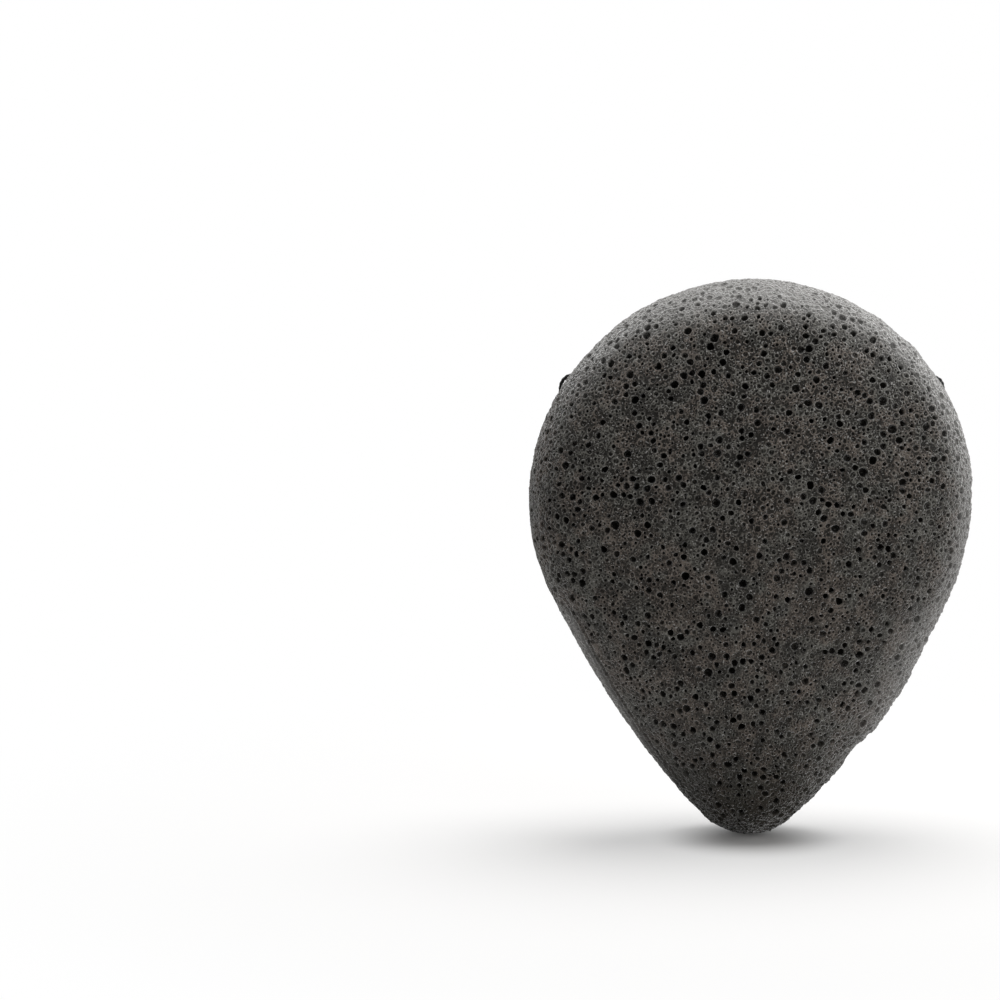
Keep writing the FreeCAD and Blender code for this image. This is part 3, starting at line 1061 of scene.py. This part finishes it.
def cord_finish():
    """Matt black cotton with fine fibres."""
    material, place = new_finish("black_cord")
    shade = noise(place, *FIBRE_NOISE).step(*FIBRE_STEP)
    bump = place.node("Bump", {}, {"Strength": 0.5, "Distance": FIBRE_HEIGHT, "Height": shade})
    shader = place.node("BsdfPrincipled", {}, {
        "Base Color": shade.mix(FIBRE_DARK, FIBRE_PALE), "Roughness": 0.75, "Normal": bump,
        "Specular IOR Level": 0.25, "Sheen Weight": 0.05, "Sheen Roughness": 0.5})
    return show(material, shader)


cord_material = cord_finish()
for piece in (left_cord, right_cord, tunnel_cord, knot, *tails):
    piece.data.materials.append(cord_material)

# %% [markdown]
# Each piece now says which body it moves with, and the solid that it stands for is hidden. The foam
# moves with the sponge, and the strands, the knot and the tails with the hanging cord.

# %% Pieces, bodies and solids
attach(foam, "sponge")
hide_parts("sponge_body")
stand_ins = {
    left_cord: "left_strand", right_cord: "right_strand", tunnel_cord: "threaded_cord",
    knot: "loop_knot", tails[0]: "left_tail", tails[1]: "right_tail"}
for piece, node in stand_ins.items():
    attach(piece, "hanging_cord")
    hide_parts(node)
for piece, line, carried in ((left_cord, left_line, [knot, *tails]), (right_cord, right_line, [])):
    line[0] * MM
    line * MM
print("pieces on the cord", [piece.name for piece in stand_ins])

# %% [markdown]
# The studio is a pale floor that turns to pure white away from the sponge, so that its shade fades out
# as on a photographer's table. A backdrop as bright as it looks would light the foam too much, so floor
# and backdrop are white to the camera only, and darker to everything else.

# %% Floor and backdrop
FLOOR_REACH = 1.5
FLOOR_COLOUR = (0.43, 0.425, 0.42, 1)
SHADE_OFFSET = (0, 0.008, 0)
NEAR_STEP = (0.003, 0.021)
NEAR_WHITE = 0.50
FAR_STEP = (0.022, 0.19)
FAR_WHITE = 0.50
WHITE = (1, 1, 1, 1)
AMBIENT = 0.42


def floor_finish():
    """Pale floor that the camera sees turn to white away from the sponge's shade."""
    material, place = new_finish("studio_floor")
    seen = place.node("LightPath", {}, {}, "Is Camera Ray")
    from_shade = place.node("VectorMath", {"operation": "ADD"}, {0: place, 1: SHADE_OFFSET}, "Vector")
    away = place.node("VectorMath", {"operation": "LENGTH"}, {0: from_shade}, "Value")
    plain = place.node("BsdfDiffuse", {}, {"Color": FLOOR_COLOUR})
    white = place.node("Emission", {}, {"Color": WHITE, "Strength": 1.0})
    blend = seen * (away.step(*NEAR_STEP) * NEAR_WHITE + away.step(*FAR_STEP) * FAR_WHITE)
    return show(material, place.node("MixShader", {}, {0: blend, 1: plain, 2: white}))


def backdrop():
    """World that is white to the camera and dim to everything that it lights."""
    world = bpy.data.worlds.new("studio")
    world.use_nodes = True
    world.node_tree.nodes.clear()
    sky = Socket(world.node_tree)
    seen = sky.node("LightPath", {}, {}, "Is Camera Ray")
    dim = sky.node("Background", {}, {"Color": WHITE, "Strength": AMBIENT})
    white = sky.node("Background", {}, {"Color": WHITE, "Strength": 1.0})
    shown = sky.node("MixShader", {}, {0: seen, 1: dim, 2: white})
    output = world.node_tree.nodes.new("ShaderNodeOutputWorld")
    world.node_tree.links.new(shown.out, output.inputs["Surface"])
    return world


corners = FLOOR_REACH / MM * np.array([[-1, -1, 0], [1, -1, 0], [1, 1, 0], [-1, 1, 0]])
floor = mesh_piece("studio_floor", corners, np.array([[0, 1, 2, 3]]))
floor.data.materials.append(floor_finish())
bpy.context.scene.world = backdrop()

# %% [markdown]
# Most of the light falls from a wide soft lamp above and a little behind, so that the crown is bright
# and the face stays dark. A weaker lamp at the front right lifts the face, and two weak ones behind
# draw the edges. Each lamp has a name, a place, an aim, a width in metres and a power in watts.

# %% Lamps
LAMPS = [
    ("overhead", (0.08, 0.14, 0.62), (0, 0, 0.06), 0.50, 8.8),
    ("front_right", (0.58, -0.62, 0.12), (0, 0, 0.05), 0.40, 3.6),
    ("behind_right", (0.52, 0.28, 0.12), (0, 0, 0.06), 0.40, 1.8),
    ("behind_left", (-0.50, 0.35, 0.06), (0, 0, 0.03), 0.30, 0.6)]


def soft_lamp(name, place, aim, width, power):
    """Round area lamp that the camera doesn't see."""
    lamp = bpy.data.lights.new(name, "AREA")
    lamp.shape = "DISK"
    lamp.size = width
    lamp.energy = power
    holder = bpy.data.objects.new(name, lamp)
    holder.location = place
    holder.rotation_euler = (Vector(aim) - Vector(place)).to_track_quat("-Z", "Y").to_euler()
    holder.visible_camera = False
    bpy.context.collection.objects.link(holder)


for lamp_values in LAMPS:
    soft_lamp(*lamp_values)
print("lamps", [name for name, *_ in LAMPS])
